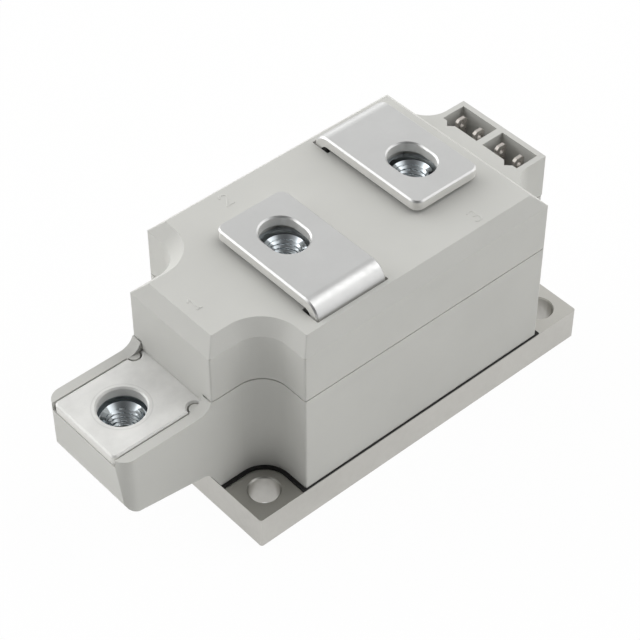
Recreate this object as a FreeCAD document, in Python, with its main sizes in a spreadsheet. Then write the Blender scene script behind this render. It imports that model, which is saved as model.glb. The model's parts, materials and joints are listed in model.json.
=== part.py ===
import FreeCAD, Part
import math
import os
import re

import Sketcher

# A power semiconductor module: a nickel-plated base plate, a two-part moulded case, three flat screw
# terminals with captive nuts, a two-pocket connector for control tabs, and two pressure stacks inside.
# X runs along the module to the connector end, Y across it and Z up. The origin is the middle of the
# four mounting holes, on the underside of the base plate. All sizes are in millimetres.

SIZES = {
    # semiconductor stacks: all lengths of the case grow from them
    "chip_radius": 11.5,
    "chip_thick": 0.6,
    "chip_bevel": 0.5,
    "contact_setback": 1.0,
    "contact_thick": 1.0,
    "ceramic_rim": 1.0,
    "ceramic_thick": 1.0,
    "ceramic_corner": 1.0,
    "ceramic_tail": 1.5,
    "ceramic_lead": 1.4,
    "foot_setback": 0.5,
    "cup_wall": 1.0,
    "cup_floor": 3.8,
    "cup_rim": 1.2,
    "washer_setback": 0.4,
    "washer_thick": 2.0,
    "washer_clearance": 0.2,
    "stub_height": 2.8,
    "spring_setback": 0.1,
    "spring_bore": 5.1,
    "spring_thick": 1.1,
    "spring_rise": 0.7,
    # pressure bridge and its screws
    "bridge_thick": 4.4,
    "bridge_rim": 0.1,
    "bridge_clearance": 0.3,
    "screw_gap": 0.5,
    "screw_bar_gap": 1.5,
    "screw_radius": 2.0,
    "screw_clearance": 0.25,
    "thread_fit": 0.05,
    "screw_head_radius": 3.5,
    "screw_head_height": 4.0,
    "screw_socket_across": 3.0,
    "screw_socket_depth": 2.0,
    "screw_tip_gap": 0.6,
    "tap_depth": 6.0,
    # base plate and its mounting holes
    "base_thick": 8.0,
    "base_corner": 0.6,
    "hole_edge": 6.0,
    "hole_radius": 3.3,
    "hole_bevel": 0.3,
    "gasket_thick": 0.3,
    "seal_reach": 0.3,
    "seal_bulge": 0.9,
    # case: plan, heights and walls
    "notch_radius": 6.5,
    "case_margin": 0.4,
    "front_reach": 7.3,
    "rear_reach": 5.2,
    "case_wall": 2.1,
    "front_wall": 3.4,
    "head_room": 0.3,
    "lid_height": 14.45,
    "top_chamfer": 2.8,
    "top_thick": 2.1,
    "edge_round": 0.4,
    "seam_depth": 0.25,
    "seam_height": 0.3,
    # nose that carries the first terminal
    "nut_wall": 2.1,
    "nose_draft": 0.8,
    "nose_drop": 2.6,
    "nose_depth": 14.9,
    "nose_corner": 3.4,
    "nose_edge": 3.5,
    "nose_bend": 3.0,
    "root_out": 1.7,
    "root_rise": 5.65,
    "gusset_radius": 3.5,
    "rail_width": 2.75,
    # terminals: flat bars over captive nuts
    "bar_thick": 2.3,
    "bar_width": 18.0,
    "bar_gap": 0.3,
    "bar_bevel": 0.35,
    "bend_inside": 0.5,
    "low_bar_width": 19.5,
    "low_bar_setback": 0.3,
    "low_bar_rise": 0.3,
    "low_bar_corner": 1.0,
    "low_bar_shoulder": 1.75,
    "low_leg_setback": 2.0,
    "low_hole_reach": 12.7,
    "low_hole_radius": 5.1,
    "relief_out": 2.1,
    "relief_radius": 1.6,
    "peg_clearance": 0.35,
    "recess_clearance": 0.4,
    "throat_clearance": 0.1,
    "throat_gap": 1.2,
    "high_bar_shift": 2.5,
    "high_bar_lift": 0.95,
    "high_bar_tip": 11.0,
    "high_bar_corner": 2.0,
    "high_bend_radius": 4.0,
    "bend_room": 2.2,
    "leg_land": 1.4,
    "slot_radius": 4.4,
    "slot_length": 11.4,
    # captive nuts
    "nut_across": 13.0,
    "nut_height": 6.5,
    "nut_bore": 3.4,
    "nut_sink": 0.9,
    "nut_bevel": 0.6,
    "nut_clearance": 0.1,
    "nut_drop_low": 1.0,
    "nut_drop_high": 0.75,
    "bolt_room_radius": 4.3,
    "bolt_room_depth": 2.5,
    "boss_wall": 2.0,
    "boss_floor": 1.5,
    # connector pockets and control tabs
    "rim_drop": 3.55,
    "rim_wall": 1.3,
    "rim_front": 4.2,
    "divider": 1.7,
    "floor_thick": 1.7,
    "key_inset": 2.5,
    "key_depth": 1.25,
    "tab_pitch": 5.3,
    "tab_width": 2.8,
    "tab_thick": 0.8,
    "tab_drop": 0.2,
    "tab_point": 0.55,
    "tab_hole": 0.65,
    "tab_hole_drop": 1.6,
    "tab_shoulder": 0.4,
    "tab_foot_height": 2.8,
    "tab_clearance": 0.1,
}

TINY = 1e-4  # two coordinates closer than this are the same place

doc = FreeCAD.newDocument("PowerModule")
sheet = doc.addObject("Spreadsheet::Sheet", "Sizes")
for row, (alias, size) in enumerate(SIZES.items(), start=1):
    sheet.set(f"A{row}", alias)
    sheet.set(f"B{row}", str(size))
    sheet.setAlias(f"B{row}", alias)
doc.recompute()


def bound(text):
    """Point each size that an expression names at its cell in the sheet."""
    return re.sub("[a-z_]+", lambda word: "Sizes." + word[0] if word[0] in SIZES else word[0], text)


def number(text):
    return float(sheet.evalExpression(bound(text)))


# Places that several pieces share, written as expressions of the sizes: first across Y
END_Y = "(low_bar_width / 2 + rail_width)"
HOLE_Y = f"({END_Y} + notch_radius)"
BASE_Y = f"({HOLE_Y} + hole_edge)"
CASE_Y = f"({BASE_Y} - case_margin)"
LEG_Y = f"({CASE_Y} - top_chamfer - leg_land)"
LOW_LEG_Y = "(low_bar_width / 2 - low_bar_shoulder)"
POCKET_OUTER = f"({END_Y} - rim_wall)"
POCKET_Y = f"((divider / 2 + {POCKET_OUTER}) / 2)"
BRIDGE_MARGIN = "(screw_head_radius + bridge_rim)"
SCREW_Y = f"({LOW_LEG_Y} + screw_bar_gap + screw_radius)"
SCREW_MID_Y = f"({LEG_Y} - bar_thick - bridge_clearance - {BRIDGE_MARGIN})"
# along X: the notches of the case stand clear of the bridge's ends
CERAMIC_HALF = "(chip_radius + ceramic_rim)"
STACK_X = f"({CERAMIC_HALF} + screw_gap + screw_radius)"
SCREW_X = f"({STACK_X} + {CERAMIC_HALF} + screw_gap + screw_radius)"
NOTCH_REACH = f"(notch_radius + case_wall + bridge_clearance + {BRIDGE_MARGIN})"
HOLE_X = f"({SCREW_X} + sqrt({NOTCH_REACH} ^ 2 - ({HOLE_Y} - {SCREW_Y}) ^ 2))"
MAIN_X = f"({HOLE_X} - notch_radius)"
BASE_X = f"({HOLE_X} + hole_edge)"
CASE_FRONT = f"({HOLE_X} + front_reach)"
CASE_REAR = f"({HOLE_X} + rear_reach)"
FRONT_INSIDE = f"({CASE_FRONT} - front_wall)"
LOW_HOLE_X = f"({CASE_FRONT} + low_hole_reach)"
NUT_ROOM = "(nut_across + 2 * nut_clearance)"
NOSE_FRONT = f"({LOW_HOLE_X} + {NUT_ROOM} / sqrt(3) + nut_wall)"
LOW_BAR_FRONT = f"({NOSE_FRONT} - low_bar_setback)"
LOW_LEG_X = f"({HOLE_X} - low_leg_setback)"
RECESS_END = f"({CASE_FRONT} + gusset_radius + 2 * throat_clearance)"
RELIEF_X = f"({CASE_FRONT} + relief_out)"
HIGH_BAR_X = f"({STACK_X} + high_bar_shift)"
POCKET_FRONT = f"({MAIN_X} + rim_front)"
POCKET_REAR = f"({CASE_REAR} - rim_wall)"
TAB_X = f"(({POCKET_FRONT} + {POCKET_REAR}) / 2)"
# up Z
CASE_BOTTOM = "(base_thick + gasket_thick)"
CERAMIC_TOP = "(base_thick + ceramic_thick)"
LOWER_FOOT_TOP = f"({CERAMIC_TOP} + bar_thick)"
CHIP_BOTTOM = f"({LOWER_FOOT_TOP} + contact_thick)"
CHIP_TOP = f"({CHIP_BOTTOM} + chip_thick)"
UPPER_FOOT_UNDER = f"({CHIP_TOP} + contact_thick)"
UPPER_FOOT_TOP = f"({UPPER_FOOT_UNDER} + bar_thick)"
CUP_FLOOR = f"({UPPER_FOOT_TOP} + cup_floor)"
WASHER_TOP = f"({CUP_FLOOR} + washer_thick)"
SPRING_MIDDLE = f"({WASHER_TOP} + spring_thick + spring_rise)"
BRIDGE_UNDER = f"({WASHER_TOP} + 2 * (spring_thick + spring_rise))"
BRIDGE_TOP = f"({BRIDGE_UNDER} + bridge_thick)"
SPLIT = f"({BRIDGE_TOP} + screw_head_height + head_room)"
LID_TOP = f"({SPLIT} + lid_height)"
RIM = f"({LID_TOP} - rim_drop)"
POCKET_FLOOR = f"({SPLIT} + floor_thick)"
TAB_TOP = f"({RIM} - tab_drop)"
NOSE_TOP = f"({SPLIT} - nose_drop)"
NOSE_BOTTOM = f"({NOSE_TOP} - nose_depth)"
LOW_BAR_TOP = f"({NOSE_TOP} + low_bar_rise)"
LOW_BAR_UNDER = f"({LOW_BAR_TOP} - bar_thick)"
HIGH_BAR_UNDER = f"({LID_TOP} + high_bar_lift)"
HIGH_BAR_TOP = f"({HIGH_BAR_UNDER} + bar_thick)"
LOW_NUT_SEAT = f"({LOW_BAR_UNDER} - nut_drop_low - nut_height)"
HIGH_NUT_SEAT = f"({LID_TOP} - nut_drop_high - nut_height)"
# round pieces of the stacks
CONTACT_RADIUS = "(chip_radius - contact_setback)"
WASHER_RADIUS = f"({CONTACT_RADIUS} - washer_setback)"
SPRING_RADIUS = f"({WASHER_RADIUS} - spring_setback)"
FOOT_HALF = "(chip_radius - foot_setback)"

# The six bridge screws in plan, counter-clockwise
SCREW_PLACES = [
    (SCREW_X, SCREW_Y),
    ("0", SCREW_MID_Y),
    (f"-{SCREW_X}", SCREW_Y),
    (f"-{SCREW_X}", f"-{SCREW_Y}"),
    ("0", f"-{SCREW_MID_Y}"),
    (SCREW_X, f"-{SCREW_Y}"),
]

# The four control tabs in a row across the connector
TAB_ROW = [f"-({POCKET_Y} + tab_pitch / 2)", f"-({POCKET_Y} - tab_pitch / 2)",
           f"({POCKET_Y} - tab_pitch / 2)", f"({POCKET_Y} + tab_pitch / 2)"]


def new_body(name):
    body = doc.addObject("PartDesign::Body", name)
    body.Label = name
    return body


def place(piece, x, y, z):
    """Move a piece that is drawn round its own origin to its place in the module."""
    piece.setExpression("Placement.Base.x", bound(x))
    piece.setExpression("Placement.Base.y", bound(y))
    piece.setExpression("Placement.Base.z", bound(z))


def hold(sketch, kind, curve, point, text):
    """Keep one coordinate of a sketch point at an expression."""
    index = sketch.addConstraint(Sketcher.Constraint(kind, -1, 1, curve, point, number(text)))
    sketch.setExpression(f"Constraints[{index}]", bound(text))


def hold_radius(sketch, curve, text):
    index = sketch.addConstraint(Sketcher.Constraint("Radius", curve, number(text)))
    sketch.setExpression(f"Constraints[{index}]", bound(text))


def arc_through(start, end, radius, turn):
    """The shorter arc from start to end, counter-clockwise where turn is 1 and clockwise where it is -1."""
    chord = end - start
    rise = math.sqrt(max(radius ** 2 - chord.Length ** 2 / 4, 0))
    side = FreeCAD.Vector(-chord.y, chord.x, 0).normalize() * turn
    middle = (start + end) * 0.5 + side * rise
    first, last = (start, end) if turn > 0 else (end, start)
    angles = [math.atan2(spot.y - middle.y, spot.x - middle.x) for spot in (first, last)]
    return Part.ArcOfCircle(Part.Circle(middle, FreeCAD.Vector(0, 0, 1), radius), *angles)


def draw_loop(sketch, corners):
    """Draw a closed outline whose corners are (x, y), or (x, y, radius, turn) where an arc leaves one."""
    spots = [FreeCAD.Vector(number(corner[0]), number(corner[1]), 0) for corner in corners]
    first = sketch.GeometryCount
    ends = []
    for corner, start, end in zip(corners, spots, spots[1:] + spots[:1]):
        if len(corner) == 2:
            sketch.addGeometry(Part.LineSegment(start, end), False)
            ends.append((1, 2))
        else:
            sketch.addGeometry(arc_through(start, end, number(corner[2]), corner[3]), False)
            ends.append((1, 2) if corner[3] > 0 else (2, 1))
    for index, corner in enumerate(corners):
        curve = first + index
        after = (index + 1) % len(corners)
        sketch.addConstraint(Sketcher.Constraint("Coincident", curve, ends[index][1],
                                                 first + after, ends[after][0]))
        hold(sketch, "DistanceX", curve, ends[index][0], corner[0])
        hold(sketch, "DistanceY", curve, ends[index][0], corner[1])
        if len(corner) > 2:
            hold_radius(sketch, curve, corner[2])


def draw_circle(sketch, x, y, radius):
    middle = FreeCAD.Vector(number(x), number(y), 0)
    curve = sketch.addGeometry(Part.Circle(middle, FreeCAD.Vector(0, 0, 1), number(radius)), False)
    hold(sketch, "DistanceX", curve, 3, x)
    hold(sketch, "DistanceY", curve, 3, y)
    hold_radius(sketch, curve, radius)


def draw(body, plane, offset, shapes):
    """Sketch loops (lists) and circles (tuples) on one of the body's own planes, moved along its normal."""
    sketch = body.newObject("Sketcher::SketchObject", f"{body.Name}_outline")
    support = next(feature for feature in body.Origin.OriginFeatures if feature.Role == plane + "_Plane")
    sketch.AttachmentSupport = (support, [""])
    sketch.MapMode = "FlatFace"
    sketch.setExpression("AttachmentOffset.Base.z", bound(offset))
    for shape in shapes:
        if isinstance(shape, tuple):
            draw_circle(sketch, *shape)
        else:
            draw_loop(sketch, shape)
    return sketch


def finish(body, feature, added):
    """Build a feature and make sure that it added or removed material."""
    before = body.Shape.Volume if feature.BaseFeature else 0
    doc.recompute()
    change = feature.Shape.Volume - before
    if (change > TINY) is not added or abs(change) < TINY:
        raise ValueError(f"{feature.Name} of {body.Label} changed the volume by {change}")


def extrude(body, kind, plane, low, high, shapes):
    """Pad or pocket outlines from low to high along the axis that stands on the plane."""
    # the XZ plane's normal points to -Y, so its outline is drawn at the high end
    offset = f"-({high})" if plane == "XZ" else low
    sketch = draw(body, plane, offset, shapes)
    feature = body.newObject("PartDesign::" + kind, f"{body.Name}_{kind.lower()}")
    feature.Profile = sketch
    feature.Reversed = kind == "Pocket"
    feature.setExpression("Length", bound(f"({high}) - ({low})"))
    finish(body, feature, kind == "Pad")


def turn_about_z(body, kind, corners):
    """Revolve an outline of (radius, height) corners about the body's own Z axis."""
    sketch = draw(body, "XZ", "0", [corners])
    feature = body.newObject("PartDesign::" + kind, f"{body.Name}_{kind.lower()}")
    feature.Profile = sketch
    feature.ReferenceAxis = (sketch, ["V_Axis"])
    feature.Angle = 360
    finish(body, feature, kind == "Revolution")


def dress(body, kind, edges, size):
    """Fillet or chamfer the named edges of the body as it stands."""
    base = body.Tip
    feature = body.newObject("PartDesign::" + kind, f"{body.Name}_{kind.lower()}")
    feature.Base = (base, edges)
    feature.setExpression("Radius" if kind == "Fillet" else "Size", bound(size))
    doc.recompute()


def names_of(body, test):
    """Names of the body's edges that pass a test."""
    return [f"Edge{index}" for index, edge in enumerate(body.Shape.Edges, start=1) if test(edge)]


def straight_edges(body, axis, places):
    """Edges along an axis, through places given by their two other coordinates."""
    across = [letter for letter in "xyz" if letter != axis]
    spots = [(number(first), number(second)) for first, second in places]

    def test(edge):
        ends = [tuple(getattr(vertex.Point, letter) for letter in across) for vertex in edge.Vertexes]
        return len(ends) == 2 and any(math.dist(end, spot) < TINY for spot in spots
                                      for end in ends) and math.dist(*ends) < TINY

    return names_of(body, test)


def circles_at(body, height, radius):
    """Round edges of one radius that lie level at one height."""
    level = number(height)
    size = number(radius)

    def test(edge):
        box = edge.BoundBox
        return (isinstance(edge.Curve, Part.Circle) and abs(edge.Curve.Radius - size) < TINY
                and abs(box.ZMin - level) < TINY and abs(box.ZMax - level) < TINY)

    return names_of(body, test)


def level_edges(body, height):
    """All edges that lie level at one height."""
    level = number(height)
    return names_of(body, lambda edge: abs(edge.BoundBox.ZMin - level) < TINY
                    and abs(edge.BoundBox.ZMax - level) < TINY)


def box(left, right, near, far):
    return [(left, near), (right, near), (right, far), (left, far)]


def hexagon(x, y, across):
    """Hexagon with two corners on the line through its middle along X."""
    reach = f"({across}) / sqrt(3)"
    return [(f"{x} + {along} * {reach}", f"{y} + {aside} * ({across}) / 2")
            for along, aside in [(1, 0), (0.5, 1), (-0.5, 1), (-1, 0), (-0.5, -1), (0.5, -1)]]


def front_outline(front, inset, side):
    """The case's plan from its front end to the middle of its length, on the near and on the far side."""
    main = f"({MAIN_X} - {inset})"
    end = f"({END_Y} - {inset})"
    notch = f"(notch_radius + {inset})"
    near = [(front, f"-{end}"), (f"-{HOLE_X}", f"-{end}", notch, -1), (f"-{main}", f"-{HOLE_Y}"),
            (f"-{main}", f"-{side}")]
    far = [(f"-{main}", side), (f"-{main}", HOLE_Y, notch, -1), (f"-{HOLE_X}", end), (front, end)]
    return near, far


def rear_outline(rear, inset, side):
    """The case's plan round its connector end, from the near side to the far side."""
    main = f"({MAIN_X} - {inset})"
    end = f"({END_Y} - {inset})"
    notch = f"(notch_radius + {inset})"
    return [(main, f"-{side}"), (main, f"-{HOLE_Y}", notch, -1), (HOLE_X, f"-{end}"), (rear, f"-{end}"),
            (rear, end), (HOLE_X, end, notch, -1), (main, HOLE_Y), (main, side)]


def case_outline(front, rear, inset, side=None):
    """The whole plan: a cross whose four inner corners leave round notches for the mounting screws."""
    side = side or f"({CASE_Y} - {inset})"
    near, far = front_outline(front, inset, side)
    return near + rear_outline(rear, inset, side) + far


def base_plate():
    body = new_body("base_plate")
    extrude(body, "Pad", "XY", "0", "base_thick", [box(f"-{BASE_X}", BASE_X, f"-{BASE_Y}", BASE_Y)])
    corners = [(x + BASE_X, y + BASE_Y) for x in ("-", "") for y in ("-", "")]
    dress(body, "Fillet", straight_edges(body, "z", corners), "base_corner")
    holes = [(x + HOLE_X, y + HOLE_Y, "hole_radius") for x in ("-", "") for y in ("-", "")]
    extrude(body, "Pocket", "XY", "0", "base_thick", holes)
    dress(body, "Chamfer", circles_at(body, "base_thick", "hole_radius"), "hole_bevel")
    extrude(body, "Pocket", "XY", "base_thick - tap_depth", "base_thick",
            [(x, y, "screw_radius + thread_fit") for x, y in SCREW_PLACES])


def base_gasket():
    """Soft sealing ring under the case, squeezed out past its walls and most of all round the notches."""
    body = new_body("base_gasket")
    outer = case_outline(f"-{BASE_X}", f"({CASE_REAR} + seal_reach)", "(-seal_bulge)",
                         f"({CASE_Y} + seal_reach)")
    inner = case_outline(f"-{FRONT_INSIDE}", f"({CASE_REAR} - case_wall)", "case_wall")
    extrude(body, "Pad", "XY", "base_thick", CASE_BOTTOM, [outer, inner])


def case_frame():
    body = new_body("case_frame")
    extrude(body, "Pad", "XY", CASE_BOTTOM, SPLIT, [case_outline(f"-{BASE_X}", CASE_REAR, "0")])
    corners = [(x + MAIN_X, y + CASE_Y) for x in ("-", "") for y in ("-", "")]
    corners += [(CASE_REAR, f"-{END_Y}"), (CASE_REAR, END_Y)]
    dress(body, "Fillet", straight_edges(body, "z", corners), "edge_round")
    # side view of the nose: slanted root, rising underside, front with draft, level rails and the
    # hollow gussets that run up the case's front wall as far as the split
    gusset_middle = f"({NOSE_TOP} + gusset_radius)"
    gusset_rise = f"sqrt(gusset_radius ^ 2 - ({gusset_middle} - {SPLIT}) ^ 2)"
    root = (f"-{CASE_FRONT} - root_out", f"{CASE_BOTTOM} + root_rise")
    toe = (f"-{NOSE_FRONT} + nose_draft", NOSE_BOTTOM)
    side_view = [
        (f"-{BASE_X}", CASE_BOTTOM),
        (f"-{FRONT_INSIDE}", CASE_BOTTOM),
        (f"-{FRONT_INSIDE}", SPLIT),
        (f"-{CASE_FRONT} - gusset_radius + {gusset_rise}", SPLIT, "gusset_radius", -1),
        (f"-{CASE_FRONT} - gusset_radius", NOSE_TOP),
        (f"-{NOSE_FRONT}", NOSE_TOP),
        toe,
        root,
    ]
    extrude(body, "Pad", "XZ", f"-{END_Y}", END_Y, [side_view])
    dress(body, "Fillet", straight_edges(body, "y", [toe]), "nose_edge")
    dress(body, "Fillet", straight_edges(body, "y", [root]), "nose_bend")
    # upright front corners of the nose
    for side, turn in (("-", 1), ("", -1)):
        corner = [(f"-{NOSE_FRONT} - nose_corner", f"{side}({END_Y} - nose_corner)"),
                  (f"-{NOSE_FRONT}", f"{side}({END_Y} - nose_corner)", "nose_corner", turn),
                  (f"-{NOSE_FRONT} + nose_corner", f"{side}{END_Y}"),
                  (f"-{NOSE_FRONT} + nose_corner", f"{side}({END_Y} + nose_corner)"),
                  (f"-{NOSE_FRONT} - nose_corner", f"{side}({END_Y} + nose_corner)")]
        extrude(body, "Pocket", "XY", CASE_BOTTOM, SPLIT, [corner])
    # fine groove along the parting line
    extrude(body, "Pocket", "XY", f"{SPLIT} - seam_height", SPLIT,
            [case_outline(f"-{CASE_FRONT} - seam_depth", CASE_REAR, "0"),
             case_outline(f"-{CASE_FRONT} + seam_depth", f"{CASE_REAR} - seam_depth", "seam_depth")])
    # hollow inside of the case
    extrude(body, "Pocket", "XY", CASE_BOTTOM, SPLIT,
            [case_outline(f"-{FRONT_INSIDE}", f"{CASE_REAR} - case_wall", "case_wall")])
    # bed of the first terminal: wide on the nose, close to the bar between the gussets and in the wall
    bed = "(low_bar_width / 2 + recess_clearance)"
    throat = "(low_bar_width / 2 + throat_clearance)"
    extrude(body, "Pocket", "XY", LOW_BAR_UNDER, SPLIT,
            [box(f"-{NOSE_FRONT} - nose_draft", f"-{RECESS_END}", f"-{bed}", bed)])
    extrude(body, "Pocket", "XY", LOW_BAR_UNDER, SPLIT,
            [box(f"-{RECESS_END} - recess_clearance", f"-{FRONT_INSIDE} + case_wall", f"-{throat}", throat)])
    # pegs in the terminal's relief notches
    peg = "relief_radius - peg_clearance"
    extrude(body, "Pad", "XY", LOW_BAR_UNDER, NOSE_TOP,
            [(f"-{RELIEF_X}", f"{side}low_bar_width / 2", peg) for side in ("-", "")])
    # gap beside the lid's tongue
    gap = "(low_bar_width / 2 + throat_gap)"
    extrude(body, "Pocket", "XY", f"{LOW_BAR_TOP} + throat_clearance", SPLIT,
            [box(f"-{CASE_FRONT}", f"-{FRONT_INSIDE} + case_wall", f"-{gap}", gap)])
    # captive nut and room for the screw's end
    extrude(body, "Pocket", "XY", LOW_NUT_SEAT, LOW_BAR_UNDER, [hexagon(f"-{LOW_HOLE_X}", "0", NUT_ROOM)])
    extrude(body, "Pocket", "XY", f"{LOW_NUT_SEAT} - bolt_room_depth", LOW_NUT_SEAT,
            [(f"-{LOW_HOLE_X}", "0", "bolt_room_radius")])


def is_lid_corner(edge):
    """Upright corner edges of the lid and the slanted ones that lead on over its chamfer."""
    tall = edge.BoundBox.ZLength > number("top_chamfer") - TINY
    corners = [(number(x), number(y)) for x, y in ((MAIN_X, CASE_Y), (CASE_FRONT, END_Y))]
    near = any(math.dist((abs(vertex.X), abs(vertex.Y)), corner) < TINY for corner in corners
               for vertex in edge.Vertexes)
    return tall and near and isinstance(edge.Curve, Part.Line)


def case_lid():
    body = new_body("case_lid")
    near, far = front_outline(f"-{CASE_FRONT}", "0", CASE_Y)
    rear = [(MAIN_X, f"-{CASE_Y}"), (MAIN_X, CASE_Y)]
    extrude(body, "Pad", "XY", SPLIT, LID_TOP, [near + rear + far])
    dress(body, "Chamfer", level_edges(body, LID_TOP), "top_chamfer")
    dress(body, "Fillet", names_of(body, is_lid_corner), "edge_round")
    # connector block behind the raised part
    joint = f"{MAIN_X} - case_wall"
    block = [(joint, f"-{HOLE_Y}"), (MAIN_X, f"-{HOLE_Y}", "notch_radius", -1), (HOLE_X, f"-{END_Y}"),
             (CASE_REAR, f"-{END_Y}"), (CASE_REAR, END_Y), (HOLE_X, END_Y, "notch_radius", -1),
             (MAIN_X, HOLE_Y), (joint, HOLE_Y)]
    extrude(body, "Pad", "XY", SPLIT, RIM, [block])
    # hollow inside, under the raised part
    inner_side = f"({CASE_Y} - case_wall)"
    near, far = front_outline(f"-{CASE_FRONT} + case_wall", "case_wall", inner_side)
    rear = [(joint, f"-{inner_side}"), (joint, inner_side)]
    ceiling = f"({LID_TOP} - top_thick)"
    extrude(body, "Pocket", "XY", SPLIT, ceiling, [near + rear + far])
    # tongue that closes the frame's wall above the first terminal
    extrude(body, "Pad", "XY", f"{LOW_BAR_TOP} + throat_clearance", f"{SPLIT} + throat_clearance",
            [box(f"-{CASE_FRONT}", f"-{CASE_FRONT} + case_wall", "-low_bar_width / 2", "low_bar_width / 2")])
    for side in ("-", ""):
        x = side + HIGH_BAR_X
        # boss with a captive nut and room for the screw's end
        boss_bottom = f"{HIGH_NUT_SEAT} - bolt_room_depth - boss_floor"
        extrude(body, "Pad", "XY", boss_bottom, f"{LID_TOP} - top_thick / 2",
                [(x, "0", f"{NUT_ROOM} / sqrt(3) + boss_wall")])
        extrude(body, "Pocket", "XY", HIGH_NUT_SEAT, LID_TOP, [hexagon(x, "0", NUT_ROOM)])
        extrude(body, "Pocket", "XY", f"{HIGH_NUT_SEAT} - bolt_room_depth", HIGH_NUT_SEAT,
                [(x, "0", "bolt_room_radius")])
        # slot for the terminal's leg, with room inside its bend
        leg_far = f"{side}({LEG_Y} + bar_gap)"
        leg_near = f"{side}({LEG_Y} - bar_thick - bend_room)"
        extrude(body, "Pocket", "XY", f"{ceiling} - top_chamfer", LID_TOP,
                [box(f"{x} - bar_width / 2 - bar_gap", f"{x} + bar_width / 2 + bar_gap", leg_far, leg_near)])
        # connector pocket with its key groove
        outer = side + POCKET_OUTER
        inner = f"{side}divider / 2"
        key = f"({POCKET_OUTER} - key_inset)"
        pocket = [(POCKET_FRONT, inner), (POCKET_REAR, inner), (POCKET_REAR, outer), (POCKET_FRONT, outer),
                  (POCKET_FRONT, f"{side}({key} + key_depth)"), (f"{POCKET_FRONT} - key_depth", side + key),
                  (POCKET_FRONT, f"{side}({key} - key_depth)")]
        extrude(body, "Pocket", "XY", POCKET_FLOOR, RIM, [pocket])
    slot_x = "(tab_width / 2 + tab_clearance)"
    slot_y = "(tab_thick / 2 + tab_clearance)"
    slots = [box(f"{TAB_X} - {slot_x}", f"{TAB_X} + {slot_x}", f"{y} - {slot_y}", f"{y} + {slot_y}")
             for y in TAB_ROW]
    extrude(body, "Pocket", "XY", SPLIT, POCKET_FLOOR, slots)


def low_terminal_bar():
    """One strip: out on the nose, down inside the case, over one stack and under the other."""
    body = new_body("terminal_bar_1")
    leg = f"-{LOW_LEG_X}"
    leg_outside = f"-{LOW_LEG_X} - bar_thick"
    inner_end = f"-{FRONT_INSIDE}"
    step = "bar_thick / 2"
    tip = f"{STACK_X} + {FOOT_HALF}"
    side_view = [
        (inner_end, LOW_BAR_UNDER), (leg_outside, LOW_BAR_UNDER), (leg_outside, UPPER_FOOT_UNDER),
        (f"-{step}", UPPER_FOOT_UNDER), (f"-{step}", CERAMIC_TOP), (tip, CERAMIC_TOP), (tip, LOWER_FOOT_TOP),
        (step, LOWER_FOOT_TOP), (step, UPPER_FOOT_TOP), (leg, UPPER_FOOT_TOP), (leg, LOW_BAR_TOP),
        (inner_end, LOW_BAR_TOP),
    ]
    extrude(body, "Pad", "XZ", f"-{LOW_LEG_Y}", LOW_LEG_Y, [side_view])
    outer_bends = [(leg, LOW_BAR_TOP), (leg_outside, UPPER_FOOT_UNDER), (step, UPPER_FOOT_TOP),
                   (f"-{step}", CERAMIC_TOP)]
    inner_bends = [(leg_outside, LOW_BAR_UNDER), (leg, UPPER_FOOT_TOP), (f"-{step}", UPPER_FOOT_UNDER),
                   (step, LOWER_FOOT_TOP)]
    dress(body, "Fillet", straight_edges(body, "y", outer_bends), "bend_inside + bar_thick")
    dress(body, "Fillet", straight_edges(body, "y", inner_bends), "bend_inside")
    # the wider outer end, its corners, relief notches and screw hole
    front = f"-{LOW_BAR_FRONT}"
    half = "low_bar_width / 2"
    extrude(body, "Pad", "XY", LOW_BAR_UNDER, LOW_BAR_TOP, [box(front, inner_end, f"-{half}", half)])
    dress(body, "Fillet", straight_edges(body, "z", [(front, f"-{half}"), (front, half)]), "low_bar_corner")
    extrude(body, "Pocket", "XY", LOW_BAR_UNDER, LOW_BAR_TOP,
            [(f"-{LOW_HOLE_X}", "0", "low_hole_radius"), (f"-{RELIEF_X}", f"-{half}", "relief_radius"),
             (f"-{RELIEF_X}", half, "relief_radius")])
    outer_end = [edge for edge in level_edges(body, LOW_BAR_TOP)
                 if body.Shape.getElement(edge).BoundBox.XMin < number(inner_end) - TINY]
    dress(body, "Chamfer", outer_end, "bar_bevel")


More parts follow.
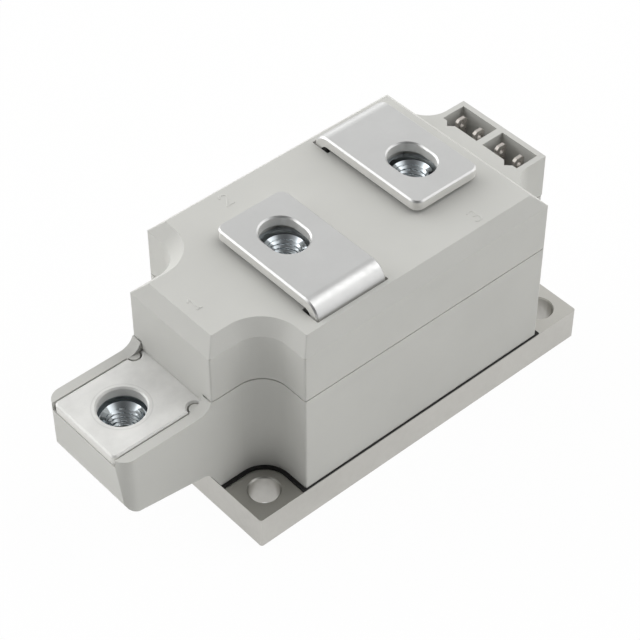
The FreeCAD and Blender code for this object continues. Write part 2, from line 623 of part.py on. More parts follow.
def high_terminal_bar(name, side, foot_under):
    """A strip bent into a C: screw end above the lid, leg through the lid's slot, foot in a stack."""
    body = new_body(name)
    x = f"{side} * {HIGH_BAR_X}"
    leg = f"{side} * {LEG_Y}"
    leg_inside = f"{side} * ({LEG_Y} - bar_thick)"
    tip = f"{-side} * high_bar_tip"
    foot_tip = f"{-side} * {FOOT_HALF}"
    foot_top = f"({foot_under} + bar_thick)"
    side_view = [(tip, HIGH_BAR_UNDER), (tip, HIGH_BAR_TOP), (leg, HIGH_BAR_TOP), (leg, foot_under),
                 (foot_tip, foot_under), (foot_tip, foot_top), (leg_inside, foot_top),
                 (leg_inside, HIGH_BAR_UNDER)]
    extrude(body, "Pad", "YZ", f"{x} - bar_width / 2", f"{x} + bar_width / 2", [side_view])
    dress(body, "Fillet", straight_edges(body, "x", [(leg, HIGH_BAR_TOP)]), "high_bend_radius")
    dress(body, "Fillet", straight_edges(body, "x", [(leg_inside, HIGH_BAR_UNDER)]),
          "high_bend_radius - bar_thick")
    dress(body, "Fillet", straight_edges(body, "x", [(leg, foot_under)]), "bend_inside + bar_thick")
    dress(body, "Fillet", straight_edges(body, "x", [(leg_inside, foot_top)]), "bend_inside")
    # rounded free corners and the long screw hole
    corners = [(f"{x} - bar_width / 2", tip), (f"{x} + bar_width / 2", tip)]
    top_corners = [edge for edge in straight_edges(body, "z", corners)
                   if body.Shape.getElement(edge).BoundBox.ZMin > number(HIGH_BAR_UNDER) - TINY]
    dress(body, "Fillet", top_corners, "high_bar_corner")
    straight = "(slot_length / 2 - slot_radius)"
    left = f"{x} - slot_radius"
    right = f"{x} + slot_radius"
    slot = [(right, f"-{straight}"), (right, straight, "slot_radius", 1),
            (x, "slot_length / 2", "slot_radius", 1), (left, straight),
            (left, f"-{straight}", "slot_radius", 1), (x, "-slot_length / 2", "slot_radius", 1)]
    extrude(body, "Pocket", "XY", HIGH_BAR_UNDER, HIGH_BAR_TOP, [slot])
    dress(body, "Chamfer", level_edges(body, HIGH_BAR_TOP), "bar_bevel")
    # the foot is as wide as the contact discs
    middle = f"{side} * {STACK_X}"
    extrude(body, "Pad", "XY", foot_under, foot_top,
            [box(f"{middle} - {FOOT_HALF}", f"{middle} + {FOOT_HALF}", f"-{FOOT_HALF}", FOOT_HALF)])


def terminal_nut(name, x, seat):
    """Hexagon nut, turned to a cone and countersunk at the top."""
    body = new_body(name)
    extrude(body, "Pad", "XY", "0", "nut_height", [hexagon("0", "0", "nut_across")])
    corner = "nut_across / sqrt(3)"
    outside = f"{corner} + nut_bevel"
    turn_about_z(body, "Groove", [("nut_across / 2", "nut_height"), (outside, "nut_height"),
                                  (outside, "nut_height - nut_bevel"), (corner, "nut_height - nut_bevel")])
    extrude(body, "Pocket", "XY", "0", "nut_height", [("0", "0", "nut_bore")])
    dress(body, "Chamfer", circles_at(body, "nut_height", "nut_bore"), "nut_sink")
    place(body, x, "0", seat)


def control_tab(name, y):
    body = new_body(name)
    half = "tab_width / 2"
    foot = "(tab_width / 2 + tab_shoulder)"
    foot_under = f"{SPLIT} - tab_foot_height"
    shoulder = f"{TAB_TOP} - tab_point"
    side_view = [(f"-{foot}", foot_under), (foot, foot_under), (foot, SPLIT), (half, SPLIT), (half, shoulder),
                 (f"{half} - tab_point", TAB_TOP), (f"-{half} + tab_point", TAB_TOP), (f"-{half}", shoulder),
                 (f"-{half}", SPLIT), (f"-{foot}", SPLIT)]
    eye = ("0", f"{TAB_TOP} - tab_hole_drop", "tab_hole")
    extrude(body, "Pad", "XZ", "-tab_thick / 2", "tab_thick / 2", [side_view, eye])
    place(body, TAB_X, y, "0")


def ceramic_plate(name, side):
    """Insulator under a stack, longer on the side where the stack's terminal comes down."""
    body = new_body(name)
    left = f"{side} * {STACK_X} - {CERAMIC_HALF}"
    right = f"{side} * {STACK_X} + {CERAMIC_HALF}"
    leg_end = f"{side} * ({LEG_Y} + ceramic_lead)"
    tip_end = f"{-side} * (chip_radius + ceramic_tail)"
    extrude(body, "Pad", "XY", "base_thick", CERAMIC_TOP, [box(left, right, leg_end, tip_end)])
    corners = [(x, y) for x in (left, right) for y in (leg_end, tip_end)]
    dress(body, "Fillet", straight_edges(body, "z", corners), "ceramic_corner")


def turned_piece(name, x, corners):
    """A round piece of a stack, revolved about the stack's axis."""
    body = new_body(name)
    turn_about_z(body, "Revolution", corners)
    place(body, x, "0", "0")


def disc(low, high, radius, bevel="0"):
    """Half section of a disc that is narrower by a bevel at its top."""
    return [("0", low), (radius, low), (f"{radius} - {bevel}", high), ("0", high)]


def pressure_stack(row, side):
    """Contact disc, semiconductor, contact disc, insulating cup, thrust washer and two disc springs."""
    x = f"{side} * {STACK_X}"
    turned_piece(f"lower_contact_disc_{row}", x, disc(LOWER_FOOT_TOP, CHIP_BOTTOM, CONTACT_RADIUS))
    turned_piece(f"semiconductor_disc_{row}", x,
                 disc(CHIP_BOTTOM, CHIP_TOP, "chip_radius", "chip_bevel"))
    turned_piece(f"upper_contact_disc_{row}", x, disc(CHIP_TOP, UPPER_FOOT_UNDER, CONTACT_RADIUS))
    inside = f"({WASHER_RADIUS} + washer_clearance)"
    outside = f"({inside} + cup_wall)"
    rim = f"{CUP_FLOOR} + cup_rim"
    turned_piece(f"pressure_cup_{row}", x,
                 [("0", UPPER_FOOT_TOP), (outside, UPPER_FOOT_TOP), (outside, rim), (inside, rim),
                  (inside, CUP_FLOOR), ("0", CUP_FLOOR)])
    stub = "(spring_bore - washer_clearance)"
    stub_top = f"{WASHER_TOP} + stub_height"
    turned_piece(f"thrust_washer_{row}", x,
                 [("0", CUP_FLOOR), (WASHER_RADIUS, CUP_FLOOR), (WASHER_RADIUS, WASHER_TOP),
                  (stub, WASHER_TOP), (stub, stub_top), ("0", stub_top)])
    # the lower spring rises to its bore and the upper one falls to it
    springs = [(2 * row - 1, WASHER_TOP, 1), (2 * row, BRIDGE_UNDER, -1)]
    for spring, edge, up in springs:
        turned_piece(f"disc_spring_{spring}", x,
                     [(SPRING_RADIUS, edge), (SPRING_RADIUS, f"{edge} + {up} * spring_thick"),
                      ("spring_bore", SPRING_MIDDLE), ("spring_bore", f"{edge} + {up} * spring_rise")])


def pressure_bridge():
    """Steel plate over both stacks; straight sides run between rounded ends round the screws."""
    body = new_body("pressure_bridge")
    margin = number(BRIDGE_MARGIN)
    spots = [FreeCAD.Vector(number(x), number(y), 0) for x, y in SCREW_PLACES]
    sketch = draw(body, "XY", BRIDGE_UNDER, [])
    aways = []
    for start, end in zip(spots, spots[1:] + spots[:1]):
        along = (end - start).normalize()
        aways.append(FreeCAD.Vector(along.y, -along.x, 0) * margin)
    for index, spot in enumerate(spots):
        before = aways[index - 1]
        after = aways[index]
        angles = [math.atan2(away.y, away.x) for away in (before, after)]
        circle = Part.Circle(spot, FreeCAD.Vector(0, 0, 1), margin)
        sketch.addGeometry(Part.ArcOfCircle(circle, *angles), False)
        following = spots[(index + 1) % len(spots)]
        sketch.addGeometry(Part.LineSegment(spot + after, following + after), False)
    for index, (x, y) in enumerate(SCREW_PLACES):
        arc = 2 * index
        hold(sketch, "DistanceX", arc, 3, x)
        hold(sketch, "DistanceY", arc, 3, y)
        hold_radius(sketch, arc, BRIDGE_MARGIN)
        sketch.addConstraint(Sketcher.Constraint("Tangent", arc, 2, arc + 1, 1))
        sketch.addConstraint(Sketcher.Constraint("Tangent", arc + 1, 2, (arc + 2) % (2 * len(spots)), 1))
    pad = body.newObject("PartDesign::Pad", "pressure_bridge_pad")
    pad.Profile = sketch
    pad.setExpression("Length", bound("bridge_thick"))
    finish(body, pad, True)
    extrude(body, "Pocket", "XY", BRIDGE_UNDER, BRIDGE_TOP,
            [(x, y, "screw_radius + screw_clearance") for x, y in SCREW_PLACES])


def bridge_screw(name, x, y):
    body = new_body(name)
    tip = "base_thick - tap_depth + screw_tip_gap"
    top = f"{BRIDGE_TOP} + screw_head_height"
    turn_about_z(body, "Revolution",
                 [("0", tip), ("screw_radius", tip), ("screw_radius", BRIDGE_TOP),
                  ("screw_head_radius", BRIDGE_TOP), ("screw_head_radius", top), ("0", top)])
    extrude(body, "Pocket", "XY", f"{top} - screw_socket_depth", top,
            [hexagon("0", "0", "screw_socket_across")])
    place(body, x, y, "0")


base_plate()
base_gasket()
case_frame()
case_lid()
low_terminal_bar()
high_terminal_bar("terminal_bar_2", -1, CERAMIC_TOP)
high_terminal_bar("terminal_bar_3", 1, UPPER_FOOT_UNDER)
terminal_nut("terminal_nut_1", f"-{LOW_HOLE_X}", LOW_NUT_SEAT)
terminal_nut("terminal_nut_2", f"-{HIGH_BAR_X}", HIGH_NUT_SEAT)
terminal_nut("terminal_nut_3", HIGH_BAR_X, HIGH_NUT_SEAT)
for index, row_y in enumerate(TAB_ROW, start=1):
    control_tab(f"control_tab_{index}", row_y)
for index, stack_side in enumerate((-1, 1), start=1):
    ceramic_plate(f"ceramic_plate_{index}", stack_side)
    pressure_stack(index, stack_side)
pressure_bridge()
for index, (screw_x, screw_y) in enumerate(SCREW_PLACES, start=1):
    bridge_screw(f"bridge_screw_{index}", screw_x, screw_y)

doc.recompute()
for item in doc.Objects:
    if "Invalid" in item.State or "Error" in item.State:
        raise ValueError(f"{item.Name} failed: {item.State}")
pieces = [item for item in doc.Objects if item.TypeId == "PartDesign::Body"]
for piece in pieces:
    if piece.Shape.isNull() or not piece.Shape.isValid():
        raise ValueError(f"{piece.Label} has no valid shape")
os.makedirs("parts", exist_ok=True)
for piece in pieces:
    piece.Shape.exportStep(f"parts/{piece.Label}.step")
    print(piece.Label, len(piece.Shape.Solids), round(piece.Shape.Volume, 1))
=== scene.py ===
import json
import math

import bmesh
import bpy
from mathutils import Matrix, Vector


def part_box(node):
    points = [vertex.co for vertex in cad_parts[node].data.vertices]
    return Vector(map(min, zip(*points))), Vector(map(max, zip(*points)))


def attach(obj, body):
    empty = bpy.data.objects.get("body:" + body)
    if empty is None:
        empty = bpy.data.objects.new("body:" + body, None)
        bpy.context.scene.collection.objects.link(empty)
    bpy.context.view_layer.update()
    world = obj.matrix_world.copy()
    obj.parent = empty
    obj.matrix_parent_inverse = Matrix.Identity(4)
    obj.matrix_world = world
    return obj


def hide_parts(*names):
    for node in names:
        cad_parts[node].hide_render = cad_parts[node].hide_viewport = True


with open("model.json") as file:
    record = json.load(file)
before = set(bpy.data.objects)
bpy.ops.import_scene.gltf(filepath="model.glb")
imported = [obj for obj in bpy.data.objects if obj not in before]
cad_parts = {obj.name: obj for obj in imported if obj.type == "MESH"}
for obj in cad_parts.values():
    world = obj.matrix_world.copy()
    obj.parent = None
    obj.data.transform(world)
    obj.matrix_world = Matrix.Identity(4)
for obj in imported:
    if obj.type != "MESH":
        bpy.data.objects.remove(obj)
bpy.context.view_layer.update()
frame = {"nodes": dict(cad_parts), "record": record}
nodes = frame["nodes"]
MM = 0.001


# Nodes and materials, with colours in linear light and the scale of a noise in cells per metre

WHITE = (1.0, 1.0, 1.0)
BLACK = (0.0, 0.0, 0.0)
# most of a noise texture's values lie between these two
NOISE_LOW = 0.3
NOISE_HIGH = 0.7


def tint(colour, factor=1.0):
    """A colour with full alpha, made lighter or darker by a factor."""
    return (*(channel * factor for channel in colour), 1.0)


def feed(tree, socket, value):
    """Link another socket to this one, or set it to a number or colour."""
    if isinstance(value, bpy.types.NodeSocket):
        tree.links.new(value, socket)
    else:
        socket.default_value = value


def math_node(tree, operation, *inputs):
    node = tree.nodes.new("ShaderNodeMath")
    node.operation = operation
    for socket, value in zip(node.inputs, inputs):
        feed(tree, socket, value)
    return node.outputs["Value"]


def map_range(tree, value, start, end, low, high, interpolation="LINEAR"):
    """Go from low, where the value is at start, to high, where it is at end."""
    node = tree.nodes.new("ShaderNodeMapRange")
    node.interpolation_type = interpolation
    node.inputs["From Min"].default_value = start
    node.inputs["From Max"].default_value = end
    node.inputs["To Min"].default_value = low
    node.inputs["To Max"].default_value = high
    tree.links.new(value, node.inputs["Value"])
    return node.outputs["Result"]


def soft_step(tree, value, start, end, low=0.0, high=1.0):
    """Go from low to high with a smooth start and end."""
    return map_range(tree, value, start, end, low, high, "SMOOTHSTEP")


def spread(tree, value, low, high):
    """Map noise from its middle range to low..high."""
    return map_range(tree, value, NOISE_LOW, NOISE_HIGH, low, high)


def axes_of(tree, vector):
    """The parts of a vector, by the axis's name."""
    node = tree.nodes.new("ShaderNodeSeparateXYZ")
    tree.links.new(vector, node.inputs["Vector"])
    return node.outputs


def place_of(tree):
    """The point on the surface in metres."""
    return tree.nodes.new("ShaderNodeTexCoord").outputs["Object"]


def noise(tree, place, scale, detail, rough=0.5):
    texture = tree.nodes.new("ShaderNodeTexNoise")
    texture.inputs["Scale"].default_value = scale
    texture.inputs["Detail"].default_value = detail
    texture.inputs["Roughness"].default_value = rough
    tree.links.new(place, texture.inputs["Vector"])
    return texture.outputs["Fac"]


def mix_colours(tree, share, first, second):
    node = tree.nodes.new("ShaderNodeMix")
    node.data_type = "RGBA"
    tree.links.new(share, node.inputs["Factor"])
    feed(tree, node.inputs["A"], first)
    feed(tree, node.inputs["B"], second)
    return node.outputs["Result"]


def mix_shaders(tree, share, first, second):
    node = tree.nodes.new("ShaderNodeMixShader")
    tree.links.new(share, node.inputs["Fac"])
    tree.links.new(first, node.inputs[1])
    tree.links.new(second, node.inputs[2])
    return node.outputs["Shader"]


def bump(tree, shader, height, distance, strength):
    node = tree.nodes.new("ShaderNodeBump")
    node.inputs["Strength"].default_value = strength
    node.inputs["Distance"].default_value = distance
    tree.links.new(height, node.inputs["Height"])
    tree.links.new(node.outputs["Normal"], shader.inputs["Normal"])


def empty_material(name):
    """A material with nothing but its output; returns it, its node tree and the output's surface socket."""
    material = bpy.data.materials.new(name)
    material.use_nodes = True
    tree = material.node_tree
    tree.nodes.clear()
    surface = tree.nodes.new("ShaderNodeOutputMaterial").inputs["Surface"]
    return material, tree, surface


def new_material(name):
    """A material with one Principled shader; returns it, its node tree and the shader."""
    material, tree, surface = empty_material(name)
    shader = tree.nodes.new("ShaderNodeBsdfPrincipled")
    tree.links.new(shader.outputs["BSDF"], surface)
    return material, tree, shader


def shader_of(material):
    return next(node for node in material.node_tree.nodes if node.type == "BSDF_PRINCIPLED")


def paint_over(material, share, colour):
    """Blend a colour over the material's own, by a share from 0 to 1."""
    tree = material.node_tree
    base = shader_of(material).inputs["Base Color"]
    plain = base.links[0].from_socket
    tree.links.new(mix_colours(tree, share, plain, tint(colour)), base)


# Moulded plastic

PLASTIC_CLOUDS = 60.0
# darkest and lightest cloud, as shares of the plastic's own colour
PLASTIC_DARKEST = 0.975
PLASTIC_LIGHTEST = 1.02
PLASTIC_GRAIN = 4200.0
PLASTIC_GRAIN_HEIGHT = 0.01 * MM
PLASTIC_GRAIN_STRENGTH = 0.5
# how far the roughness goes in the grain, up and down
PLASTIC_GLOSS_SPREAD = 0.05
PLASTIC_SPECULAR = 0.20


def moulded_plastic(name, colour, roughness):
    """Filled polyamide: fine spark-eroded grain, faint clouds from the flow in the mould."""
    material, tree, shader = new_material(name)
    place = place_of(tree)
    clouds = spread(tree, noise(tree, place, PLASTIC_CLOUDS, detail=4.0), 0.0, 1.0)
    clouded = mix_colours(tree, clouds, tint(colour, PLASTIC_DARKEST), tint(colour, PLASTIC_LIGHTEST))
    tree.links.new(clouded, shader.inputs["Base Color"])
    grain = noise(tree, place, PLASTIC_GRAIN, detail=2.0)
    gloss = spread(tree, grain, roughness - PLASTIC_GLOSS_SPREAD, roughness + PLASTIC_GLOSS_SPREAD)
    tree.links.new(gloss, shader.inputs["Roughness"])
    shader.inputs["Specular IOR Level"].default_value = PLASTIC_SPECULAR
    bump(tree, shader, grain, PLASTIC_GRAIN_HEIGHT, PLASTIC_GRAIN_STRENGTH)
    return material


# Plated metal

METAL_GRAIN = 900.0
METAL_GRAIN_HEIGHT = 0.002 * MM
METAL_GRAIN_STRENGTH = 0.5
# least and most roughness in the grain, as shares of the metal's own
METAL_GLOSSIEST = 0.85
METAL_DULLEST = 1.15


def plated_metal(name, colour, roughness, cloud_scale, cloud_depth, metallic=1.0):
    """Plated metal: clouds in the plating, fine grain in gloss and height."""
    material, tree, shader = new_material(name)
    shader.inputs["Metallic"].default_value = metallic
    place = place_of(tree)
    clouds = spread(tree, noise(tree, place, cloud_scale, detail=5.0, rough=0.6), 0.0, 1.0)
    clouded = mix_colours(tree, clouds, tint(colour, 1.0 - cloud_depth), tint(colour))
    tree.links.new(clouded, shader.inputs["Base Color"])
    grain = noise(tree, place, METAL_GRAIN, detail=3.0)
    gloss = spread(tree, grain, roughness * METAL_GLOSSIEST, roughness * METAL_DULLEST)
    tree.links.new(gloss, shader.inputs["Roughness"])
    bump(tree, shader, grain, METAL_GRAIN_HEIGHT, METAL_GRAIN_STRENGTH)
    return material


# Sheared and punched edges of the terminal bars

CUT_EDGE = (0.790, 0.782, 0.760)
EDGE_METALLIC = 0.2
# z of a face's normal where the cut look begins; at 0 the face is upright and the look is full
EDGE_SLOPE = 0.35


def dull_edges(material):
    """Make upright faces paler and less mirror-like, as where a plated strip was sheared or punched."""
    tree = material.node_tree
    normal = tree.nodes.new("ShaderNodeNewGeometry").outputs["Normal"]
    slope = math_node(tree, "ABSOLUTE", axes_of(tree, normal)["Z"])
    edge = soft_step(tree, slope, EDGE_SLOPE, 0.0)
    metallic = shader_of(material).inputs["Metallic"]
    plated = metallic.default_value
    less = math_node(tree, "MULTIPLY_ADD", edge, EDGE_METALLIC - plated, plated)
    tree.links.new(less, metallic)
    paint_over(material, edge, CUT_EDGE)


# Ring that a washer left in the plating

RING_RADIUS = 6.1 * MM
# how far the mark reaches to each side of that radius
RING_WIDTH = 0.25 * MM
# share of the colour that it takes away in its middle
RING_DEPTH = 0.12


def pressed_ring(material, x, y):
    """Darken a fine ring round the screw hole at x, y, where a washer has marked the plating."""
    tree = material.node_tree
    place = axes_of(tree, place_of(tree))
    along = math_node(tree, "SUBTRACT", place["X"], x)
    across = math_node(tree, "SUBTRACT", place["Y"], y)
    across_squared = math_node(tree, "MULTIPLY", across, across)
    reach = math_node(tree, "SQRT", math_node(tree, "MULTIPLY_ADD", along, along, across_squared))
    off_ring = math_node(tree, "ABSOLUTE", math_node(tree, "SUBTRACT", reach, RING_RADIUS))
    paint_over(material, soft_step(tree, off_ring, 0.0, RING_WIDTH, RING_DEPTH, 0.0), BLACK)


# Colours and finishes

HOUSING = (0.615, 0.614, 0.593)
NICKEL = (0.575, 0.565, 0.535)
TIN = (0.620, 0.622, 0.624)
NOSE_TIN = (0.860, 0.858, 0.845)
TAB_TIN = (0.520, 0.490, 0.460)
ZINC = (0.740, 0.800, 0.850)
SPRING_STEEL = (0.36, 0.36, 0.37)
CONTACT_METAL = (0.46, 0.45, 0.44)
SILICON = (0.20, 0.21, 0.24)
# near-black seal under the case; where it shows beyond the case foot it is painted shade, standing in for
# the shadow on the base plate's ledge
SEAL_AND_SHADE_BLACK = (0.022, 0.022, 0.022)
INNER_PLASTIC = (0.66, 0.60, 0.48)
CERAMIC = (0.80, 0.80, 0.77)

housing = moulded_plastic("housing_plastic", HOUSING, roughness=0.50)
# a real black seal, and painted shade where it stands out beyond the case foot
seal_and_painted_shade = moulded_plastic("seal_and_painted_shade", SEAL_AND_SHADE_BLACK, roughness=0.62)
inner_plastic = moulded_plastic("inner_plastic", INNER_PLASTIC, roughness=0.55)
ceramic = moulded_plastic("ceramic", CERAMIC, roughness=0.40)

base_nickel = plated_metal("base_nickel", NICKEL, roughness=0.36, cloud_scale=90.0, cloud_depth=0.06)
tab_plate = plated_metal("tab_plate", TAB_TIN, roughness=0.30, cloud_scale=400.0, cloud_depth=0.06,
                         metallic=0.6)
zinc_steel = plated_metal("zinc_steel", ZINC, roughness=0.10, cloud_scale=500.0, cloud_depth=0.12)
spring_steel = plated_metal("spring_steel", SPRING_STEEL, roughness=0.35, cloud_scale=300.0,
                            cloud_depth=0.12)
contact_metal = plated_metal("contact_metal", CONTACT_METAL, roughness=0.30, cloud_scale=300.0,
                             cloud_depth=0.08)
silicon = plated_metal("silicon", SILICON, roughness=0.12, cloud_scale=500.0, cloud_depth=0.05)

terminal_plate = plated_metal("terminal_plate", TIN, roughness=0.36, cloud_scale=110.0, cloud_depth=0.05,
                              metallic=0.85)
dull_edges(terminal_plate)

nose_plate = plated_metal("nose_plate", NOSE_TIN, roughness=0.42, cloud_scale=150.0, cloud_depth=0.16,
                          metallic=0.15)
dull_edges(nose_plate)

LOOKS = {
    "base_nickel": base_nickel,
    "gasket": seal_and_painted_shade,
    "housing": housing,
    "terminal_plate": terminal_plate,
    "zinc_steel": zinc_steel,
    "tab_plate": tab_plate,
    "insulator_ceramic": ceramic,
    "contact_metal": contact_metal,
    "silicon": silicon,
    "inner_plastic": inner_plastic,
    "spring_steel": spring_steel,
}


def dress(node_name, material):
    """Give a CAD node its finish."""
    finishes = nodes[node_name].data.materials
    finishes.clear()
    finishes.append(material)


for subpart in frame["record"]["subparts"]:
    dress(subpart["node"], LOOKS[subpart["material_slot"]])


# The first terminal: paler and duller than the other two, with the mark of a washer round its hole

dress("terminal_bar_1", nose_plate)
first_nut_low, first_nut_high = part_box("terminal_nut_1")
first_nut = (first_nut_low + first_nut_high) / 2
pressed_ring(nose_plate, first_nut.x, first_nut.y)


# Pieces made here

def new_piece(name, mesh, material):
    """Put a finished mesh into the scene as an object with one material."""
    data = bpy.data.meshes.new(name)
    mesh.to_mesh(data)
    mesh.free()
    data.materials.append(material)
    piece = bpy.data.objects.new(name, data)
    bpy.context.scene.collection.objects.link(piece)
    return piece


# Captive nuts with their threads

THREAD_PITCH = 1.25 * MM
THREAD_MINOR = 3.4 * MM
THREAD_MAJOR = 4.0 * MM
# half the width of the thread's groove, as a share of the pitch
GROOVE_HALF_WIDTH = 0.42
# radius of the countersink at the nut's upper face
NUT_SINK = 4.55 * MM
NUT_BEVEL = 0.6 * MM
# the upper face ends just inside the nut's flats
FACE_SHARE = 0.995
SHARP_ANGLE = math.radians(35)
ROWS_PER_PITCH = 12
TURN_STEPS = 96
TURNS = [math.tau * step / TURN_STEPS for step in range(TURN_STEPS)]
# half the angle that one side of a hexagon spans
HALF_SIDE = math.pi / 6


def wall_radius(turn, height, high):
    """Inside radius of the nut: a V-shaped thread that runs out in the countersink at the top."""
    phase = (height / THREAD_PITCH - turn / math.tau) % 1.0
    groove = max(0.0, 1.0 - abs(phase - 0.5) / GROOVE_HALF_WIDTH)
    thread = THREAD_MINOR + (THREAD_MAJOR - THREAD_MINOR) * groove
    return max(thread, NUT_SINK - (high - height))


def hexagon_radius(turn, across):
    """Distance from the nut's axis to its outside, with a corner at turn 0."""
    from_corner = (turn + HALF_SIDE) % (2 * HALF_SIDE) - HALF_SIDE
    return across / 2 / math.cos(HALF_SIDE - abs(from_corner))


def bore_rings(low, high):
    """Rings up the threaded wall, each point as its radius and height."""
    rows = round((high - low) / THREAD_PITCH * ROWS_PER_PITCH)
    heights = [low + (high - low) * row / rows for row in range(rows + 1)]
    return [[(wall_radius(turn, height, high), height) for turn in TURNS] for height in heights]


def outside_rings(low, high, across):
    """Rings down the outside, from the rim of the upper face, each point as its radius and height."""
    flat = across / 2
    corner = across / math.sqrt(3)
    reaches = [hexagon_radius(turn, across) for turn in TURNS]
    rim = [(flat * FACE_SHARE, high) for _ in TURNS]
    # the turned cone takes more off the corners than off the flats
    cone = [(reach, high - NUT_BEVEL * (reach - flat) / (corner - flat)) for reach in reaches]
    foot = [(reach, low) for reach in reaches]
    return [rim, cone, foot]


def joined_rings(middle, rings):
    """A closed mesh round an upright axis: each ring is joined to the next, and the last to the first."""
    mesh = bmesh.new()
    grid = []
    for ring in rings:
        places = [(middle.x + radius * math.cos(turn), middle.y + radius * math.sin(turn), height)
                  for turn, (radius, height) in zip(TURNS, ring)]
        grid.append([mesh.verts.new(place) for place in places])
    for ring, following in zip(grid, grid[1:] + grid[:1]):
        for step in range(TURN_STEPS):
            after = (step + 1) % TURN_STEPS
            mesh.faces.new((ring[step], following[step], following[after], ring[after]))
    bmesh.ops.recalc_face_normals(mesh, faces=mesh.faces)
    return mesh


def threaded_nut(node_name):
    """A nut with the CAD one's hexagon, height and bore, and with a thread and a wider countersink."""
    low_corner, high_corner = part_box(node_name)
    low = low_corner.z
    high = high_corner.z
    across = high_corner.y - low_corner.y
    middle = (low_corner + high_corner) / 2
    mesh = joined_rings(middle, bore_rings(low, high) + outside_rings(low, high, across))
    piece = new_piece(f"threaded_{node_name}", mesh, zinc_steel)
    faces = piece.data.polygons
    faces.foreach_set("use_smooth", [True] * len(faces))
    piece.data.set_sharp_from_angle(angle=SHARP_ANGLE)
    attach(piece, "root")
    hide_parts(node_name)


for number in (1, 2, 3):
    threaded_nut(f"terminal_nut_{number}")


# Terminal numbers, raised on the lid

DIGIT_HEIGHT = 0.08 * MM
# half the width of a stroke, at its foot and at its crest
STROKE_FOOT = 0.24 * MM
STROKE_CREST = 0.12 * MM
# points across a stroke, each as its distance from the middle line and its height
STROKE_PROFILE = [
    (STROKE_FOOT, 0.0),
    (STROKE_CREST, DIGIT_HEIGHT),
    (-STROKE_CREST, DIGIT_HEIGHT),
    (-STROKE_FOOT, 0.0),
]
# middle of each digit on the lid, and its strokes from there, in millimetres
DIGIT_PLACES = {"1": (-41.4, -0.7), "2": (-17.3, 18.7), "3": (17.5, -18.7)}
DIGIT_STROKES = {
    "1": [
        [(-0.75, 0.95), (0.0, 1.70), (0.0, -1.70)],
        [(-0.70, -1.70), (0.70, -1.70)],
    ],
    "2": [
        [(-0.90, 0.90), (-0.70, 1.40), (0.0, 1.70), (0.70, 1.40), (0.90, 0.80), (0.60, 0.10),
         (-0.90, -1.70), (0.95, -1.70)],
    ],
    "3": [
        [(-0.85, 1.30), (-0.20, 1.70), (0.50, 1.55), (0.85, 1.00), (0.60, 0.30), (0.0, 0.05),
         (0.60, -0.20), (0.90, -0.90), (0.50, -1.50), (-0.20, -1.70), (-0.90, -1.25)],
    ],
}


def stroke_sides(points):
    """Vectors to the left of a stroke at each of its points, of length 1 and longer in the corners."""
    steps = [(after - before).normalized() for before, after in zip(points, points[1:])]
    lefts = [Vector((-step.y, step.x)) for step in steps]
    corners = [(before + after) / (1 + before.dot(after)) for before, after in zip(lefts, lefts[1:])]
    return [lefts[0], *corners, lefts[-1]]


def add_ridge(mesh, points, top):
    """A low ridge with slanted sides along a stroke, standing on a face at height top."""
    rows = []
    for point, left in zip(points, stroke_sides(points)):
        places = [(*(point + left * aside), top + height) for aside, height in STROKE_PROFILE]
        rows.append([mesh.verts.new(place) for place in places])
    for row, following in zip(rows, rows[1:]):
        for index in range(len(STROKE_PROFILE) - 1):
            mesh.faces.new((row[index], row[index + 1], following[index + 1], following[index]))
    mesh.faces.new(rows[0])
    mesh.faces.new(rows[-1])


def raised_digit(digit, top):
    x, y = DIGIT_PLACES[digit]
    mesh = bmesh.new()
    for stroke in DIGIT_STROKES[digit]:
        add_ridge(mesh, [Vector((x + along, y + up)) * MM for along, up in stroke], top)
    bmesh.ops.recalc_face_normals(mesh, faces=mesh.faces)
    piece = new_piece(f"lid_digit_{digit}", mesh, housing)
    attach(piece, "root")


lid_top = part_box("case_lid")[1].z
for digit in DIGIT_PLACES:
    raised_digit(digit, lid_top)


# Floor

# how far it reaches to each side, in metres
FLOOR_REACH = 3.0
FLOOR_COLOUR = (0.93, 0.93, 0.92)
# share of the floor that glows white, for the camera and in reflections
GLOW_SEEN = 0.97
GLOW_MIRRORED = 0.72


def floor_white():
    """Pale cloth that takes the module's faint shadow, and glows for the camera and in reflections."""
    material, tree, surface = empty_material("floor_white")
    cloth = tree.nodes.new("ShaderNodeBsdfDiffuse")
    cloth.inputs["Color"].default_value = tint(FLOOR_COLOUR)
    glow = tree.nodes.new("ShaderNodeEmission")
    glow.inputs["Color"].default_value = tint(WHITE)
    ray = tree.nodes.new("ShaderNodeLightPath")
    seen = math_node(tree, "MULTIPLY", ray.outputs["Is Camera Ray"], GLOW_SEEN)
    share = math_node(tree, "MULTIPLY_ADD", ray.outputs["Is Glossy Ray"], GLOW_MIRRORED, seen)
    tree.links.new(mix_shaders(tree, share, cloth.outputs["BSDF"], glow.outputs["Emission"]), surface)
    return material


def stage_floor():
    mesh = bmesh.new()
    corners = ((-FLOOR_REACH, -FLOOR_REACH), (FLOOR_REACH, -FLOOR_REACH),
               (FLOOR_REACH, FLOOR_REACH), (-FLOOR_REACH, FLOOR_REACH))
    mesh.faces.new([mesh.verts.new((x, y, 0.0)) for x, y in corners])
    floor = new_piece("floor", mesh, floor_white())


# Studio light, with headings and heights in degrees and edges as cosines

# the sweep stands straight behind the module as the camera sees it
SWEEP_HEADING = 48.5
SWEEP_EDGES = (-0.6, 0.2)
SWEEP_STRENGTH = 0.37
SWEEP_EXTRA_AT_TABLE = 0.10
# the room is bright at the height of the table, except on the photographer's side
ROOM_EDGES = (-0.95, -0.26)
ROOM_STRENGTH_AT_TABLE = 1.32
# soft panels: heading, height, the edge where each has faded out, strength
LEFT_PANEL = (118.0, 25.0, 0.70, 1.40)
RIGHT_PANEL = (-42.0, 40.0, 0.74, 0.60)
HIGH_PANEL = (-28.0, 58.0, 0.89, 1.25)
SKY_COLOUR = (1.0, 1.0, 0.985)


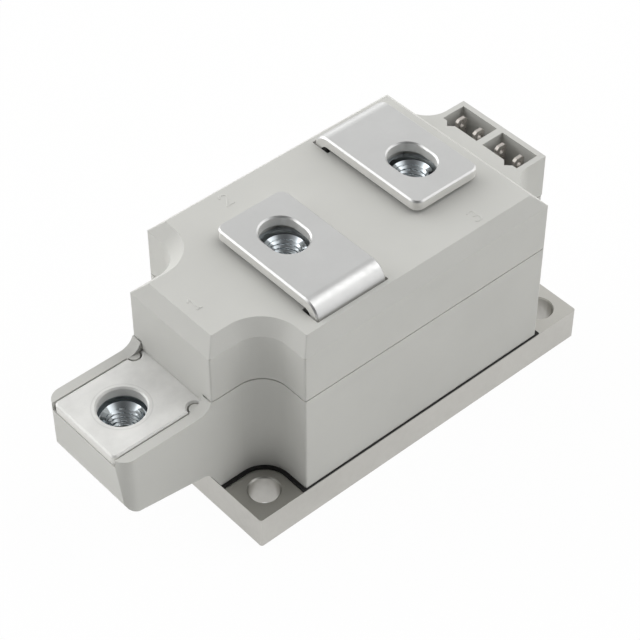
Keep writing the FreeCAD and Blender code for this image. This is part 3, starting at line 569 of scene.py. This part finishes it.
def bright_towards(tree, direction, heading, height, faint, full=1.0):
    """Share of a soft light that a direction sees: none below one cosine and all above another."""
    along = math.radians(heading)
    up = math.radians(height)
    light = (math.cos(along) * math.cos(up), math.sin(along) * math.cos(up), math.sin(up))
    dot = tree.nodes.new("ShaderNodeVectorMath")
    dot.operation = "DOT_PRODUCT"
    dot.inputs[1].default_value = light
    tree.links.new(direction, dot.inputs[0])
    return soft_step(tree, dot.outputs["Value"], faint, full)


def light_strength(tree):
    """Strength of the light from each direction."""
    direction = tree.nodes.new("ShaderNodeTexCoord").outputs["Generated"]
    rise = math_node(tree, "MAXIMUM", axes_of(tree, direction)["Z"], 0.0)
    low = math_node(tree, "SUBTRACT", 1.0, rise)
    sweep = math_node(tree, "MULTIPLY_ADD", low, SWEEP_EXTRA_AT_TABLE, SWEEP_STRENGTH)
    behind = bright_towards(tree, direction, SWEEP_HEADING, 0.0, *SWEEP_EDGES)
    beside = bright_towards(tree, direction, SWEEP_HEADING, 0.0, *ROOM_EDGES)
    room = math_node(tree, "MULTIPLY", math_node(tree, "MULTIPLY", low, ROOM_STRENGTH_AT_TABLE), beside)
    strength = math_node(tree, "MULTIPLY_ADD", sweep, behind, room)
    for heading, height, edge, brightness in (LEFT_PANEL, RIGHT_PANEL, HIGH_PANEL):
        panel = bright_towards(tree, direction, heading, height, edge)
        strength = math_node(tree, "MULTIPLY_ADD", panel, brightness, strength)
    return strength


def studio_world():
    """White for the camera. Light and reflections come from the sweep, the room and the panels."""
    world = bpy.data.worlds.new("studio")
    bpy.context.scene.world = world
    world.use_nodes = True
    tree = world.node_tree
    tree.nodes.clear()
    output = tree.nodes.new("ShaderNodeOutputWorld")
    sky = tree.nodes.new("ShaderNodeBackground")
    sky.inputs["Color"].default_value = tint(SKY_COLOUR)
    tree.links.new(light_strength(tree), sky.inputs["Strength"])
    backdrop = tree.nodes.new("ShaderNodeBackground")
    backdrop.inputs["Color"].default_value = tint(WHITE)
    backdrop.inputs["Strength"].default_value = 1.0
    seen = tree.nodes.new("ShaderNodeLightPath").outputs["Is Camera Ray"]
    surroundings = mix_shaders(tree, seen, sky.outputs["Background"], backdrop.outputs["Background"])
    tree.links.new(surroundings, output.inputs["Surface"])


# Camera, fitted to the photograph: angles in degrees, lens and sensor in millimetres, the rest in metres

CAMERA_PLACE = (-210.95 * MM, -229.40 * MM, 326.54 * MM)
CAMERA_HEADING = 48.495
CAMERA_TILT = 44.863
CAMERA_LENS = 114.58
CAMERA_SENSOR = 36.0
CAMERA_NEAR = 0.01
CAMERA_FAR = 20.0


def photo_camera():
    data = bpy.data.cameras.new("camera")
    data.sensor_width = CAMERA_SENSOR
    data.lens = CAMERA_LENS
    data.clip_start = CAMERA_NEAR
    data.clip_end = CAMERA_FAR
    camera = bpy.data.objects.new("camera", data)
    bpy.context.scene.collection.objects.link(camera)
    camera.location = CAMERA_PLACE
    camera.rotation_euler = (math.radians(90.0 - CAMERA_TILT), 0.0, math.radians(CAMERA_HEADING - 90.0))
    bpy.context.scene.camera = camera


stage_floor()
studio_world()
photo_camera()
bpy.context.scene.view_settings.view_transform = "Standard"
